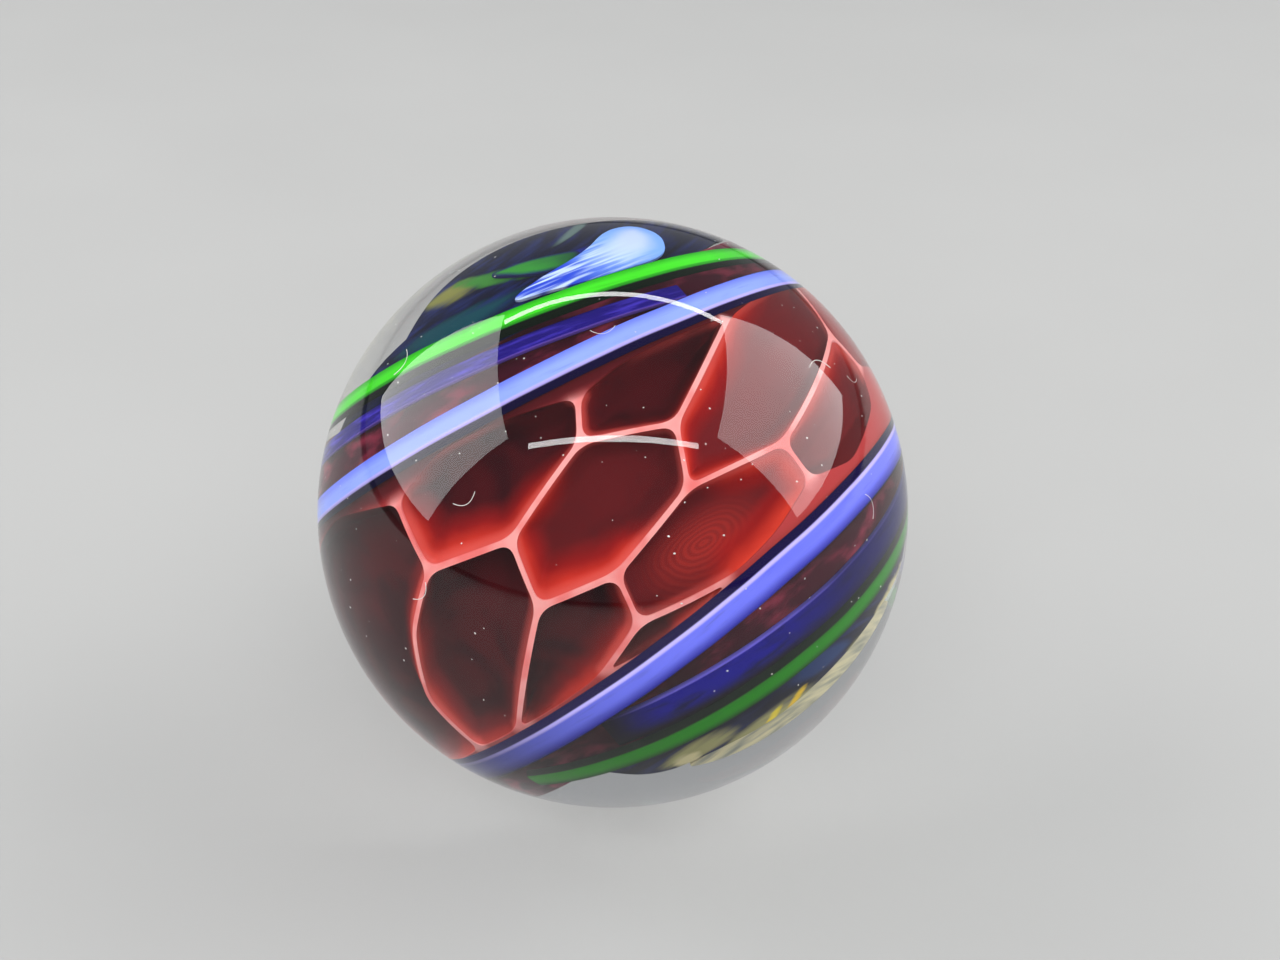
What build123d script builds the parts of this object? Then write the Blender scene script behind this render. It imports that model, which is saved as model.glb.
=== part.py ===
from build123d import *
import os
from math import cos, degrees, radians, sin, tan

# A handmade glass marble, one solid ball. A patch of sunk red cells in a pale net, a set
# of flattened canes and ribbons and a few thin leaves lie fused under its clear surface.
# Millimetres. The origin is the ball's centre, +Z is up and -Y is the front.

# The ball and the layers under its surface
ball_diameter = 35.0
clear_cover = 0.9
cane_depth = 1.0
glass_film = 0.15
ribbon_depth = 0.4
plum_depth = 0.5
plum_gap = 0.3
cut_overrun = 1.0

# The net of cells
cell_depth = 3.0
cell_wall = 0.5
well_depth = 1.8

# The thin leaves of coloured glass past the canes
leaf_depth = 0.4

# Widths of the canes, across the top and across the foot, and of the ribbons
upper_blue_top = 1.2
upper_blue_foot = 1.8
lower_blue_top = 1.5
lower_blue_foot = 2.3
green_top = 1.1
green_foot = 1.6
upper_cobalt_width = 1.0
lower_cobalt_width = 2.1
upper_plum_width = 3.6
lower_plum_width = 3.6

# The pattern faces up and forwards, and its stripes climb to the right
face_tilt_degrees = 33
stripe_slant_degrees = 34

# A stripe is a ring round a pole of its own: the longitude that the pole leans to,
# how far it leans, the latitude of the stripe, and where it starts and ends
upper_blue_degrees = (112, 8, 25.5, -96, 96)
lower_blue_degrees = (-31, 7.5, -21.5, -94, 96)
upper_green_degrees = (112, 14, 38, -96, 94)
lower_green_degrees = (9, 21.6, -25.5, -48, 94)
upper_cobalt_degrees = (121, 15, 30.5, -84, 34)
lower_cobalt_degrees = (12, 21, -20.5, -24, 84)

# Longitude and latitude of the corners where the cell walls meet
corner_degrees = {
    "a": (-19, 6),
    "b": (-38, 10),
    "c": (-22, -7),
    "d": (-6, -10),
    "e": (-8, -20),
    "f": (14, -4),
    "g": (19, 7),
    "h": (36, -7),
    "i": (38, -16),
    "j": (2, 14),
    "k": (7, 22),
    "l": (70, 5),
    "m": (46, 19),
    "n": (-39, 25),
    "o": (78, 19),
    "p": (-47, -25),
    "q": (-62, -24),
    "r": (-22, -25),
    "s": (14, -23),
    "t": (74, -4),
    "u": (-50, 2),
    "v": (-60, -10),
    "w": (52, -18),
    "A": (-9, 27),
    "B": (-24, 29),
    "C": (-62, 30),
    "D": (-102, 24),
    "E": (-102, -22),
    "F": (18, 23),
    "G": (25, -21),
    "H": (2, -26),
    "I": (70, -11),
    "J": (102, 14),
    "K": (102, -6),
}

# Each cell names its corners in turn
cells = {
    "centre": "acdfgj",
    "upper_left": "ajkABnb",
    "upper_middle": "jgmFk",
    "upper_right": "gfhlom",
    "right": "desGihf",
    "far_right": "hiwItl",
    "right_rim": "ltKJo",
    "bottom": "dcpre",
    "lower_sliver": "erHs",
    "lower_left": "abuvqpc",
    "far_left": "bnCDEqvu",
}
field_ends_degrees = (-92, 93)
field_lats_degrees = (-42, 46)
twist_centre_degrees = (16, -6)
cell_twist_degrees = 10

# The outlines of the leaves, longitude and latitude in turn
opal_degrees = ((1, 50), (30, 41), (51, 36), (64, 42), (69, 50), (58, 54), (38, 51))
green_leaf_degrees = ((2, 69), (22, 55), (34, 50), (48, 53), (36, 60))
straw_degrees = ((-48, -61), (-30, -72), (40, -74), (78, -62), (92, -49), (60, -53), (10, -62))
upper_navy_degrees = (
    (-80, 42),
    (-50, 41),
    (-20, 41),
    (10, 41),
    (40, 38),
    (66, 35),
    (92, 33),
    (92, 46),
    (80, 62),
    (56, 77),
    (-20, 78),
    (-40, 64),
    (-48, 52),
    (-78, 47),
)
lower_navy_degrees = (
    (-55, -41),
    (-48, -58),
    (-20, -64),
    (10, -67),
    (40, -63),
    (68, -54),
    (90, -44),
    (90, -33),
    (45, -36),
    (0, -40),
    (-28, -41),
)

ball_radius = ball_diameter / 2
cane_radius = ball_radius - clear_cover
foot_radius = cane_radius - cane_depth
field_radius = foot_radius - glass_film
field_floor = field_radius - cell_depth
well_floor = field_radius - well_depth
plum_radius = field_radius - ribbon_depth - plum_gap
navy_radius = plum_radius - plum_depth - glass_film
straw_radius = navy_radius - leaf_depth - glass_film
green_leaf_radius = navy_radius + leaf_depth + glass_film

pattern = Rot(X=-face_tilt_degrees) * Rot(Y=-stripe_slant_degrees)


def direction(longitude, latitude):
    """The unit vector of a place in the pattern, from the front face at 0, 0."""
    lon, lat = radians(longitude), radians(latitude)
    return Vector(sin(lon) * cos(lat), -cos(lon) * cos(lat), sin(lat))


def own_pole(stripe_degrees):
    """The turn that leans the pattern's pole to a stripe's own pole."""
    towards, lean = stripe_degrees[:2]
    return Rot(Z=towards) * Rot(X=lean) * Rot(Z=-towards)


def ring(section, start, end):
    """Turn a section, drawn as radius and height, from one longitude to another."""
    face = Plane.XZ * make_face(Polyline(*section, close=True))
    return Rot(Z=start - 90) * revolve(face, Axis.Z, end - start)


def stripe(stripe_degrees, outer, depth, top, foot):
    """A flat stripe with sloping sides, its top at the outer radius."""
    latitude, start, end = stripe_degrees[2:]
    lat = radians(latitude)

    def point(radius, across):
        return (radius * cos(lat) - across * sin(lat), radius * sin(lat) + across * cos(lat))

    inner = outer - depth
    section = [
        point(outer, -top / 2),
        point(outer, top / 2),
        point(inner, foot / 2),
        point(inner, -foot / 2),
    ]
    return pattern * own_pole(stripe_degrees) * ring(section, start, end)


def beside(stripe_degrees, width):
    """The place of a ribbon that starts at the middle of a stripe, away from the cells."""
    towards, lean, latitude, start, end = stripe_degrees
    outward = 1 if latitude > 0 else -1
    shift = degrees((glass_film + width / 2) / plum_radius)
    return (towards, lean, latitude + outward * shift, start, end)


def beyond(stripe_degrees):
    """All that lies past the middle of a stripe, away from the cells, as a cone."""
    edge = radians(abs(stripe_degrees[2]))
    height = ball_radius + cut_overrun
    far = height if stripe_degrees[2] > 0 else -height
    cone = [(0, 0), (height / tan(edge), far), (0, far)]
    return own_pole(stripe_degrees) * ring(cone, 0, 360)


def cell_field(outer):
    """A curved slab from one blue cane to the other, from its floor to an outer radius."""
    low, high = field_lats_degrees
    outer_face = CenterArc((0, 0), outer, low, high - low)
    inner_face = CenterArc((0, 0), field_floor, low, high - low)
    outline = [
        outer_face,
        inner_face,
        Line(outer_face @ 0, inner_face @ 0),
        Line(outer_face @ 1, inner_face @ 1),
    ]
    start, end = field_ends_degrees
    slab = Rot(Z=start - 90) * revolve(Plane.XZ * make_face(outline), Axis.Z, end - start)
    return slab - beyond(upper_blue_degrees) - beyond(lower_blue_degrees)


def inset(outline, amount):
    """Move each side of a flat outline inwards and meet it with its neighbours again."""
    moved = []
    for i, corner in enumerate(outline):
        before = (corner - outline[i - 1]).normalized()
        after = (outline[(i + 1) % len(outline)] - corner).normalized()
        inward_before = Vector(-before.Y, before.X)
        inward_after = Vector(-after.Y, after.X)
        halfway = inward_before + inward_after
        moved.append(corner + halfway * (amount / halfway.dot(inward_before)))
    return moved


def shaft(outline_degrees, twist_degrees):
    """A tapering shaft over an outline, turned as it goes in, as the twisted glass is."""
    places = [direction(*corner) for corner in outline_degrees]
    middle = sum(places, Vector(0, 0, 0)).normalized()
    east = Vector(0, 0, 1).cross(middle).normalized()
    north = middle.cross(east)
    plane = Plane(origin=(0, 0, 0), x_dir=east, z_dir=middle)
    outline = [field_radius * Vector(p.dot(east), p.dot(north)) / p.dot(middle) for p in places]
    outline = inset(outline, cell_wall / 2)
    twist_axis = Axis((0, 0, 0), direction(*twist_centre_degrees))

    def level(distance):
        share = distance / field_radius
        turn = twist_degrees * (distance - field_radius) / cell_depth
        points = [plane.from_local_coords(p * share + Vector(0, 0, distance)) for p in outline]
        return [p.rotate(twist_axis, turn) for p in points]

    spread = min(p.dot(middle) for p in places)
    top = level(field_radius + cut_overrun)
    bottom = level(field_floor * spread - cut_overrun)
    faces = [Face(Wire.make_polygon(top)), Face(Wire.make_polygon(bottom))]
    for i in range(len(top)):
        faces.append(Face(Wire.make_polygon([top[i - 1], top[i], bottom[i - 1]])))
        faces.append(Face(Wire.make_polygon([top[i], bottom[i], bottom[i - 1]])))
    return Solid(Shell(faces))


def leaf(outline_degrees, outer):
    """A thin leaf of glass with an outline of its own, its top at the outer radius."""
    body = Sphere(outer) & shaft(outline_degrees, 0)
    return pattern * (body - Sphere(outer - leaf_depth))


def cell_shaft(corners):
    """The shaft of a cell, from the names of its corners."""
    return shaft([corner_degrees[name] for name in corners], cell_twist_degrees)


shafts = [cell_shaft(corners) for corners in cells.values()]
walls = cell_field(field_radius)
for cell in shafts:
    walls = walls - cell
red_layer = cell_field(well_floor)
red = [red_layer & cell for cell in shafts]

upper_plum_degrees = beside(upper_blue_degrees, upper_plum_width)
lower_plum_degrees = beside(lower_blue_degrees, lower_plum_width)
nodes = {
    "upper_blue_cane": stripe(
        upper_blue_degrees, cane_radius, cane_depth, upper_blue_top, upper_blue_foot
    ),
    "lower_blue_cane": stripe(
        lower_blue_degrees, cane_radius, cane_depth, lower_blue_top, lower_blue_foot
    ),
    "upper_green_cane": stripe(upper_green_degrees, cane_radius, cane_depth, green_top, green_foot),
    "lower_green_cane": stripe(lower_green_degrees, cane_radius, cane_depth, green_top, green_foot),
    "upper_cobalt_ribbon": stripe(
        upper_cobalt_degrees, field_radius, ribbon_depth, upper_cobalt_width, upper_cobalt_width
    ),
    "lower_cobalt_ribbon": stripe(
        lower_cobalt_degrees, field_radius, ribbon_depth, lower_cobalt_width, lower_cobalt_width
    ),
    "upper_plum_ribbon": stripe(
        upper_plum_degrees, plum_radius, plum_depth, upper_plum_width, upper_plum_width
    ),
    "lower_plum_ribbon": stripe(
        lower_plum_degrees, plum_radius, plum_depth, lower_plum_width, lower_plum_width
    ),
    "opal_leaf": leaf(opal_degrees, field_radius),
    "green_leaf": leaf(green_leaf_degrees, green_leaf_radius),
    "upper_navy_leaf": leaf(upper_navy_degrees, navy_radius),
    "lower_navy_leaf": leaf(lower_navy_degrees, navy_radius),
    "straw_leaf": leaf(straw_degrees, straw_radius),
    "red_cells": Compound([pattern * piece.solid() for piece in red]),
    "cell_walls": pattern * walls,
}
nodes["clear_ball"] = Sphere(ball_radius) - [*nodes.values()]

os.makedirs("parts", exist_ok=True)
for name, shape in nodes.items():
    export_step(shape, f"parts/{name}.step")
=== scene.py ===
from collections import namedtuple
from math import acos, atan, atan2, ceil, cos, degrees, pi, radians, sin, sqrt

import bmesh
import bpy
from mathutils import Matrix, Vector
from mathutils.kdtree import KDTree


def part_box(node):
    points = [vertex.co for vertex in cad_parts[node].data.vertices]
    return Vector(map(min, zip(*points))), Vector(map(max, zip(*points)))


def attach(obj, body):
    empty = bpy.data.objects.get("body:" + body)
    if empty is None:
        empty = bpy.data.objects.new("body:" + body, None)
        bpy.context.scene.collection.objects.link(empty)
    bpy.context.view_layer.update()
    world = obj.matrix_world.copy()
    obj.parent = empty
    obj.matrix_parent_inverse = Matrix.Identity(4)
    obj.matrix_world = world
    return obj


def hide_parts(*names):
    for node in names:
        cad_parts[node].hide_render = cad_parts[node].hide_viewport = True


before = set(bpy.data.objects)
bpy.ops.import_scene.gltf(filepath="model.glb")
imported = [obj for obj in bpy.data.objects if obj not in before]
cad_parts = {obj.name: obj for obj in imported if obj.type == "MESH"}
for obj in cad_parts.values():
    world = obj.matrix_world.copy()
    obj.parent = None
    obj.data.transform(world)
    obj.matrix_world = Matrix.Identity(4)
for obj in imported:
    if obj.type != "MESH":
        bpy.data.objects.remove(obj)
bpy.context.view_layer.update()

# Lengths are in metres. The frame gives the ball; the layers are measured from it.
mm = 0.001
ball_low, ball_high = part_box("clear_ball")
ball_radius = (ball_high.z - ball_low.z) / 2

clear_cover = 0.9 * mm
cane_depth = 1.0 * mm
cane_rounding = 0.2 * mm
cane_waver = 0.15 * mm
glass_film = 0.15 * mm
ribbon_depth = 0.4 * mm
ribbon_rounding = 0.1 * mm
ribbon_waver = 0.1 * mm
upper_cobalt_width = 1.0 * mm
lower_cobalt_width = 2.1 * mm
plum_depth = 0.5 * mm
plum_gap = 0.3 * mm
plum_width = 3.6 * mm
cell_depth = 3.0 * mm
cell_wall = 0.5 * mm
net_crest = 0.28 * mm
border_wall = 0.25 * mm
corner_round = 0.75 * mm
leaf_round = 2.0 * mm
leaf_depth = 0.4 * mm
leaf_edge_depth = leaf_depth * 0.35
outline_step = 0.2 * mm
bowl_rim_depth = 0.12 * mm
bowl_middle_depth = 1.9 * mm
bowl_slope = 1.4 * mm
dust_reach = 0.96 * ball_radius

cane_top = ball_radius - clear_cover
field_top = cane_top - cane_depth - glass_film
plum_top = field_top - ribbon_depth - plum_gap
navy_top = plum_top - plum_depth - glass_film
straw_top = navy_top - leaf_depth - glass_film
green_leaf_top = navy_top + leaf_depth + glass_film

# How finely the pieces are divided.
border_steps = 240
corner_steps = 8
fewest_outline_points = 12
net_levels = (0, 0.03, 0.08, 0.15, 0.25, 0.37, 0.5, 0.7, 0.85, 1)
bowl_rings = 18
bowl_crowding = 1.6
bowl_side_steps = 4
bowl_fit = 0.999
glass_edge = 50
cane_edge = 40

# The pattern faces up and forwards, and its stripes climb to the right.
face_tilt = radians(33)
stripe_slant = radians(34)
pattern = Matrix.Rotation(-face_tilt, 4, "X") @ Matrix.Rotation(-stripe_slant, 4, "Y")

# A stripe: longitude its pole leans to, lean, latitude, start and end, in degrees.
Stripe = namedtuple("Stripe", "towards lean latitude start end")
upper_blue = Stripe(112, 8, 25.5, -96, 96)
lower_blue = Stripe(-31, 7.5, -21.5, -94, 96)
upper_green = Stripe(112, 14, 38, -96, 94)
lower_green = Stripe(9, 21.6, -25.5, -48, 94)
upper_cobalt = Stripe(121, 15, 30.5, -84, 34)
lower_cobalt = Stripe(12, 21, -20.5, -24, 84)

# The field of cells: its ends, and how the glass in it turns as it goes in.
field_ends = (-92, 93)
twist_centre = (16, -6)
twist = radians(10)
twist_fade = 16

# Corners where the cell walls meet, longitude and latitude in degrees.
corners = {
    "a": (-19, 6), "b": (-38, 10), "c": (-22, -7), "d": (-6, -10), "e": (-8, -20),
    "f": (14, -4), "g": (19, 7), "h": (36, -7), "i": (38, -16), "j": (2, 14),
    "k": (7, 22), "l": (70, 5), "m": (46, 19), "n": (-39, 25), "o": (78, 19),
    "p": (-47, -25), "q": (-62, -24), "r": (-22, -25), "s": (14, -23), "t": (74, -4),
    "u": (-50, 2), "v": (-60, -10), "w": (52, -18), "A": (-9, 27), "B": (-24, 29),
    "C": (-62, 30), "D": (-102, 24), "E": (-102, -22), "F": (18, 23), "G": (25, -21),
    "H": (2, -26), "I": (70, -11), "J": (102, 14), "K": (102, -6),
}
# A cell: its corners, the way its painted glow lies as seen (right, up), how strong the painted glow is,
# how light the red is and how clear the rings in it are.
Cell = namedtuple("Cell", "corners towards glow tone rings")
cells = {
    "centre": Cell("acdfgj", (-0.5, -0.87), 1.0, 0.24, 0.0),
    "upper_left": Cell("ajkABnb", (0.1, -1.0), 0.85, 0.0, 0.0),
    "upper_middle": Cell("jgmFk", (0.3, -0.95), 0.35, 0.0, 0.0),
    # The upper right cell's lighter red is a painted reflection.
    "upper_right": Cell("gfhlom", (-0.9, -0.3), 0.9, 0.4, 0.0),
    "right": Cell("desGihf", (0.97, 0.1), 1.15, 0.3, 0.6),
    "far_right": Cell("hiwItl", (-0.7, 0.5), 0.6, 0.4, 0.0),
    "right_rim": Cell("ltKJo", (-0.9, 0.3), 0.9, 1.0, 0.0),
    "bottom": Cell("dcpre", (0.85, -0.5), 0.65, 0.0, 0.0),
    "lower_sliver": Cell("erHs", (0.3, 0.95), 0.9, 0.2, 0.0),
    "lower_left": Cell("abuvqpc", (-0.75, -0.6), 0.65, 0.0, 0.0),
    "far_left": Cell("bnCDEqvu", (0.9, -0.3), 0.6, 0.0, 0.0),
}
# Where the rings in the right cell lie, how far they reach and how they slant, in degrees.
ring_middle = (13, -16)
ring_reach = (18.0, 8.0)
ring_slope = 0.1

# Outlines of the thin leaves, longitude and latitude in degrees.
opal_outline = ((1, 50), (30, 41), (51, 36), (64, 42), (69, 50), (58, 54), (38, 51))
green_leaf_outline = ((2, 69), (22, 55), (34, 50), (48, 53), (36, 60))
straw_outline = ((-48, -61), (-30, -72), (40, -74), (78, -62), (92, -49), (60, -53), (10, -62))
upper_navy_outline = (
    (-80, 42), (-50, 41), (-20, 41), (10, 41), (40, 38), (66, 35), (92, 33),
    (92, 46), (80, 62), (56, 77), (-20, 78), (-40, 64), (-48, 52), (-78, 47),
)
lower_navy_outline = (
    (-55, -41), (-48, -58), (-20, -64), (10, -67), (40, -63), (68, -54), (90, -44),
    (90, -33), (45, -36), (0, -40), (-28, -41),
)

# The photo's frame and the ball's middle in it, in pixels, and the camera that sees it so.
photo_size = (1280, 960)
ball_in_photo = (613.5, 511.5)
camera_distance = 106.73 * mm
lens_length, film_width = 50, 36

# Sockets told by their place: a Mix node's colours, a random number, a noise's colour.
mix_share, mix_first, mix_second, mix_result = 0, 6, 7, 2
random_number = 1
noise_colour = 1


class Value:
    """A node socket that can be reckoned with like a number."""

    def __init__(self, tree, socket):
        self.tree = tree
        self.socket = socket

    def reckon(self, operation, *terms):
        return self.tree.value("ShaderNodeMath", {"operation": operation}, dict(enumerate(terms)))

    def __add__(self, other):
        return self.reckon("ADD", self, other)

    def __radd__(self, other):
        return self.reckon("ADD", other, self)

    def __sub__(self, other):
        return self.reckon("SUBTRACT", self, other)

    def __rsub__(self, other):
        return self.reckon("SUBTRACT", other, self)

    def __mul__(self, other):
        return self.reckon("MULTIPLY", self, other)

    def __rmul__(self, other):
        return self.reckon("MULTIPLY", other, self)

    def __truediv__(self, other):
        return self.reckon("DIVIDE", self, other)

    def __rtruediv__(self, other):
        return self.reckon("DIVIDE", other, self)

    def __neg__(self):
        return self.reckon("MULTIPLY", self, -1.0)

    def __abs__(self):
        return self.reckon("ABSOLUTE", self)

    def most(self, other):
        return self.reckon("MAXIMUM", self, other)

    def wave(self):
        return self.reckon("SINE", self)

    def root(self):
        return self.reckon("SQRT", self)

    def rise(self, low, high):
        """From 0 at low to 1 at high, eased at both ends."""
        return self.tree.value(
            "ShaderNodeMapRange",
            {"interpolation_type": "SMOOTHSTEP"},
            {"Value": self, "From Min": low, "From Max": high},
        )


class Tree:
    """A node tree that adds nodes by type, settings and socket values."""

    def __init__(self, tree):
        self.tree = tree

    def plug(self, socket, value):
        """Link a value into a socket, or set a constant on it."""
        if isinstance(value, Value):
            self.tree.links.new(value.socket, socket)
        elif isinstance(value, bpy.types.NodeSocket):
            self.tree.links.new(value, socket)
        else:
            socket.default_value = value

    def node(self, kind, settings=None, sockets=None):
        made = self.tree.nodes.new(kind)
        for name, value in (settings or {}).items():
            setattr(made, name, value)
        for name, value in (sockets or {}).items():
            self.plug(made.inputs[name], value)
        return made

    def value(self, kind, settings=None, sockets=None, out=0):
        return Value(self, self.node(kind, settings, sockets).outputs[out])

    def colour_mix(self, first, second, share):
        return self.value(
            "ShaderNodeMix",
            {"data_type": "RGBA"},
            {mix_share: share, mix_first: first, mix_second: second},
            mix_result,
        )

    def place(self):
        return self.value("ShaderNodeTexCoord", out="Object")

    def attribute(self, name):
        return self.value("ShaderNodeAttribute", {"attribute_name": name}, out="Fac")

    def vector(self, x=0.0, y=0.0, z=0.0):
        return self.value("ShaderNodeCombineXYZ", sockets={"X": x, "Y": y, "Z": z})

    def length(self, vector):
        return self.value("ShaderNodeVectorMath", {"operation": "LENGTH"}, {0: vector}, "Value")

    def noise(self, vector, scale=1.0, detail=2.0, roughness=0.5, distortion=0.0, out="Fac"):
        return self.value(
            "ShaderNodeTexNoise",
            {"noise_dimensions": "3D"},
            {
                "Vector": vector,
                "Scale": scale,
                "Detail": detail,
                "Roughness": roughness,
                "Distortion": distortion,
            },
            out,
        )

    def surface(self, paint, roughness, specular=0.5):
        """Close a material with a plain painted surface."""
        shader = self.node(
            "ShaderNodeBsdfPrincipled",
            sockets={"Base Color": paint, "Roughness": roughness, "Specular IOR Level": specular},
        )
        self.node("ShaderNodeOutputMaterial", sockets={"Surface": shader.outputs[0]})

    def sealed(self, paint):
        """Coloured glass sealed in clear glass: no gloss of its own, only colour."""
        self.surface(paint, roughness=0.6, specular=0.0)

    def marked(self, geometry, name, value):
        """Geometry with a named value stored on its points."""
        return self.node(
            "GeometryNodeStoreNamedAttribute",
            {"data_type": "FLOAT", "domain": "POINT"},
            {"Geometry": geometry, "Name": name, "Value": value},
        ).outputs[0]

    def close(self, geometry, material):
        """Close a geometry tree with real, painted geometry."""
        real = self.node("GeometryNodeRealizeInstances", sockets={"Geometry": geometry})
        painted = self.node(
            "GeometryNodeSetMaterial", sockets={"Geometry": real.outputs[0], "Material": material}
        )
        self.node("NodeGroupOutput", sockets={"Geometry": painted.outputs[0]})


def new_material(name):
    material = bpy.data.materials.new(name)
    material.use_nodes = True
    material.node_tree.nodes.clear()
    return material, Tree(material.node_tree)


def colour(red, green, blue):
    return (red, green, blue, 1.0)


def clear_glass():
    material, tree = new_material("fire-polished clear glass")
    ripple = tree.noise(tree.place(), scale=160.0, detail=1.0)
    bump = tree.node(
        "ShaderNodeBump", sockets={"Strength": 0.012, "Distance": 0.02 * mm, "Height": ripple}
    )
    shader = tree.node(
        "ShaderNodeBsdfPrincipled",
        sockets={
            "Base Color": colour(0.985, 0.99, 0.99),
            "Roughness": 0.0,
            "IOR": 1.47,
            "Transmission Weight": 1.0,
            "Normal": bump.outputs[0],
        },
    )
    open_way = tree.node("ShaderNodeBsdfTransparent", sockets={"Color": colour(0.86, 0.87, 0.87)})
    path = tree.node("ShaderNodeLightPath")
    mix = tree.node(
        "ShaderNodeMixShader",
        sockets={0: path.outputs["Is Shadow Ray"], 1: shader.outputs[0], 2: open_way.outputs[0]},
    )
    tree.node("ShaderNodeOutputMaterial", sockets={"Surface": mix.outputs[0]})
    return material


def net_glass():
    """Pale pink where the net is thin, red where it is wide, dark along the upper border."""
    pale_pink, rose = colour(0.9, 0.36, 0.34), colour(0.82, 0.18, 0.17)
    wide_red, border_dark = colour(0.46, 0.05, 0.05), colour(0.1, 0.007, 0.011)
    side_red, underside = colour(0.5, 0.03, 0.02), colour(0.6, 0.14, 0.14)
    wide_wall, border_wide, border_band = (0.7, 1.4), (0.35, 0.8), (5.0, 9.0)
    crest_foot, slab_foot = (0.0, 0.3), (2.7, 3.0)
    material, tree = new_material("pale pink net glass")
    place = tree.place()
    wide = tree.attribute("wide")
    upper_gap = tree.attribute("upper_gap")
    drift = tree.noise(place, scale=420.0)
    below = (field_top - tree.length(place)) / mm
    at_border = wide.rise(*border_wide) * (1.0 - (upper_gap + drift * 2.0).rise(*border_band))
    paint = tree.colour_mix(pale_pink, rose, drift.rise(0.4, 0.7))
    paint = tree.colour_mix(paint, wide_red, (wide + drift * 0.4).rise(*wide_wall))
    paint = tree.colour_mix(paint, border_dark, at_border)
    paint = tree.colour_mix(paint, side_red, below.rise(*crest_foot))
    paint = tree.colour_mix(paint, underside, below.rise(*slab_foot))
    tree.sealed(paint)
    return material


def red_glass():
    """Garnet with a painted red glow beside the lit walls, a soft painted glow at every wall and faint
    rings.
    """
    garnet, dark_garnet = colour(0.062, 0.0035, 0.006), colour(0.03, 0.0025, 0.005)
    light_red, ring_red = colour(0.3, 0.022, 0.024), colour(0.46, 0.032, 0.022)
    glow, bright_glow = colour(0.42, 0.008, 0.007), colour(0.8, 0.06, 0.03)
    wall_glow_red = colour(0.66, 0.09, 0.075)
    # How far each glow reaches from a dull wall, and how much further from a lit one, in millimetres.
    dull_reach, lit_reach = 0.5, 1.1
    dull_bright_reach, lit_bright_reach = 0.2, 0.45
    edge_band, wide_wall = (0.02, 0.3), (0.6, 1.1)
    ring_pitch, ring_wander, ring_contrast, ring_fade = 62.0, 22.0, 0.4, (0.1, 1.1)
    material, tree = new_material("deep garnet glass")
    inward = tree.attribute("from_wall")
    facing = tree.attribute("facing")
    wide = tree.attribute("wide")
    drift = tree.noise(tree.place(), scale=260.0, detail=3.0, roughness=0.55, distortion=0.6)
    aside = tree.attribute("lon") - ring_middle[0]
    above = tree.attribute("lat") - ring_middle[1] - aside * ring_slope
    aside, above = aside / ring_reach[0], above / ring_reach[1]
    outward = (aside * aside + above * above).root()
    rings = (outward * ring_pitch + drift * ring_wander).wave().rise(-1.0, 1.0)
    ringed = (rings * ring_contrast + (1.0 - ring_contrast)) * (1.0 - outward.rise(*ring_fade))
    wandering = inward + (drift - 0.5) * 0.5
    near = 1.0 - wandering.rise(-0.2, facing * lit_reach + dull_reach)
    nearest = 1.0 - wandering.rise(-0.3, facing * lit_bright_reach + dull_bright_reach)
    wall_glow_edge = (1.0 - inward.rise(*edge_band)) * (1.0 - wide.rise(*wide_wall))
    paint = tree.colour_mix(garnet, dark_garnet, drift.rise(0.4, 0.65))
    paint = tree.colour_mix(paint, light_red, tree.attribute("tone"))
    paint = tree.colour_mix(paint, ring_red, ringed * tree.attribute("swirl"))
    # Painted glow: light scattered through the walls, reaching further on the lit side of each cell.
    paint = tree.colour_mix(paint, glow, near * facing)
    paint = tree.colour_mix(paint, bright_glow, nearest * facing)
    # Painted glow along every wall, stronger on the lit side, fading where the net is wide.
    paint = tree.colour_mix(paint, wall_glow_red, wall_glow_edge * (0.4 + facing * 0.4))
    tree.sealed(paint)
    return material


def cane_glass(name, top, edge, outer, flank, cells_side, dim_start=0.0):
    """A flattened cane: its top, a painted edge towards the cells (a highlight on the blue canes, shade on
    the green), painted shade on the side away from the cells as on a rounded rod, dark flanks, a dim start.
    """
    far_side_shade_band, edge_band, flank_foot, dim_length = (-0.02, 0.32), (0.23, 0.3), (0.3, 0.44), (7.0, 20.0)
    streaks_along, streaks_across, streak_strength = 0.5, 9.0, 0.35
    material, tree = new_material(name)
    across = tree.attribute("across") * cells_side
    risen = tree.attribute("risen")
    along = tree.attribute("along")
    streak = tree.noise(tree.vector(along * streaks_along, across * streaks_across), detail=3.0)
    paint = tree.colour_mix(top, flank, streak.rise(0.5, 0.95) * streak_strength)
    # Painted shade on the side away from the cells, as on a rounded rod.
    paint = tree.colour_mix(paint, outer, (-across).rise(*far_side_shade_band))
    # Painted edge towards the cells: a highlight on the blue canes, shade on the green ones.
    paint = tree.colour_mix(paint, edge, across.rise(*edge_band))
    paint = tree.colour_mix(paint, flank, (1.0 - along.rise(*dim_length)) * dim_start)
    paint = tree.colour_mix(flank, paint, risen.rise(*flank_foot))
    tree.sealed(paint)
    return material


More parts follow.
